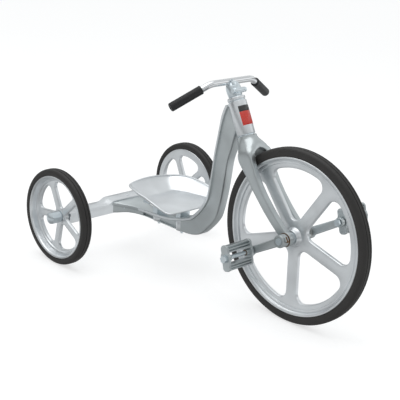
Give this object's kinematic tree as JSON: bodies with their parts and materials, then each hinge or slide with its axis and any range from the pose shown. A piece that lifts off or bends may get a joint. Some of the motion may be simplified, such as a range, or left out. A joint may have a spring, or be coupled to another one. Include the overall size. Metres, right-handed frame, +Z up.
{
  "type": "children's tricycle",
  "caption": "Children's tricycle with a cast beam frame, bucket seat, front wheel driven by cranks and pedals, steering handlebar, and two free rear wheels on an axle beam.",
  "frame": {"origin": "on the floor, under the middle of the overall box", "axes": "+Z up; the front wheel is towards -Y; +X is the rider's left"},
  "size_m": [0.6366, 1.126, 0.6498],
  "materials": {
    "cast_aluminium": "tumbled casting, satin",
    "polished_aluminium": "casting with machined and polished faces",
    "zinc_steel": "bright zinc plate",
    "bronze": "dull sintered bronze",
    "chrome": "polished chrome plate",
    "grip_rubber": "ribbed moulded rubber",
    "tyre_rubber": "solid black tyre",
    "badge_plate": "gloss printed plate"
  },
  "bodies": {
    "frame": {"main_frame": "cast_aluminium", "upper_head_bush": "zinc_steel", "lower_head_bush": "zinc_steel", "head_badge": "badge_plate", "rear_axle_beam": "polished_aluminium", "beam_bolts": "zinc_steel", "beam_nuts": "zinc_steel", "stub_axles": "zinc_steel", "axle_washers": "zinc_steel", "cap_nut_right": "zinc_steel", "cap_nut_left": "zinc_steel", "seat_pan": "polished_aluminium", "front_seat_bracket": "zinc_steel", "rear_seat_bracket": "zinc_steel", "seat_bolts": "zinc_steel", "seat_nuts": "zinc_steel"},
    "steering": {"fork": "cast_aluminium", "steerer": "zinc_steel", "crown_race": "zinc_steel", "head_collar": "cast_aluminium", "stem": "zinc_steel", "stem_bolt": "zinc_steel", "stem_nut": "zinc_steel", "bar_screw": "zinc_steel", "handlebar": "chrome", "grip_right": "grip_rubber", "grip_left": "grip_rubber", "fork_bush_right": "bronze", "fork_bush_left": "bronze"},
    "front_wheel": {"front_wheel": "polished_aluminium", "front_tyre": "tyre_rubber", "hub_spacers": "zinc_steel", "crank_axle": "zinc_steel", "crank_right": "cast_aluminium", "crank_left": "cast_aluminium", "crank_bolts": "bronze", "spindle_right": "zinc_steel", "spindle_left": "zinc_steel", "spindle_nuts": "zinc_steel", "pedal_nut_right": "zinc_steel", "pedal_nut_left": "zinc_steel"},
    "right_pedal": {"pedal_right": "cast_aluminium", "pedal_bush_right": "bronze"},
    "left_pedal": {"pedal_left": "cast_aluminium", "pedal_bush_left": "bronze"},
    "right_rear_wheel": {"rear_wheel_right": "polished_aluminium", "rear_tyre_right": "tyre_rubber", "hub_bush_right": "bronze"},
    "left_rear_wheel": {"rear_wheel_left": "polished_aluminium", "rear_tyre_left": "tyre_rubber", "hub_bush_left": "bronze"}
  },
  "joints": [
    {"name": "steer", "type": "hinge", "parent": "frame", "child": "steering", "pos_m": [0, -0.24278, 0.21879], "axis": [0, 0.4695, 0.8829], "range_deg": [-45, 45]},
    {"name": "front_wheel_spin", "type": "hinge", "parent": "steering", "child": "front_wheel", "pos_m": [0, -0.309, 0.254], "axis": [1, 0, 0], "continuous": true},
    {"name": "right_pedal_spin", "type": "hinge", "parent": "front_wheel", "child": "right_pedal", "pos_m": [-0.135, -0.219, 0.19992], "axis": [1, 0, 0], "continuous": true},
    {"name": "left_pedal_spin", "type": "hinge", "parent": "front_wheel", "child": "left_pedal", "pos_m": [0.135, -0.399, 0.30808], "axis": [1, 0, 0], "continuous": true},
    {"name": "right_rear_spin", "type": "hinge", "parent": "frame", "child": "right_rear_wheel", "pos_m": [-0.268, 0.411, 0.152], "axis": [1, 0, 0], "continuous": true},
    {"name": "left_rear_spin", "type": "hinge", "parent": "frame", "child": "left_rear_wheel", "pos_m": [0.268, 0.411, 0.152], "axis": [1, 0, 0], "continuous": true}
  ]
}
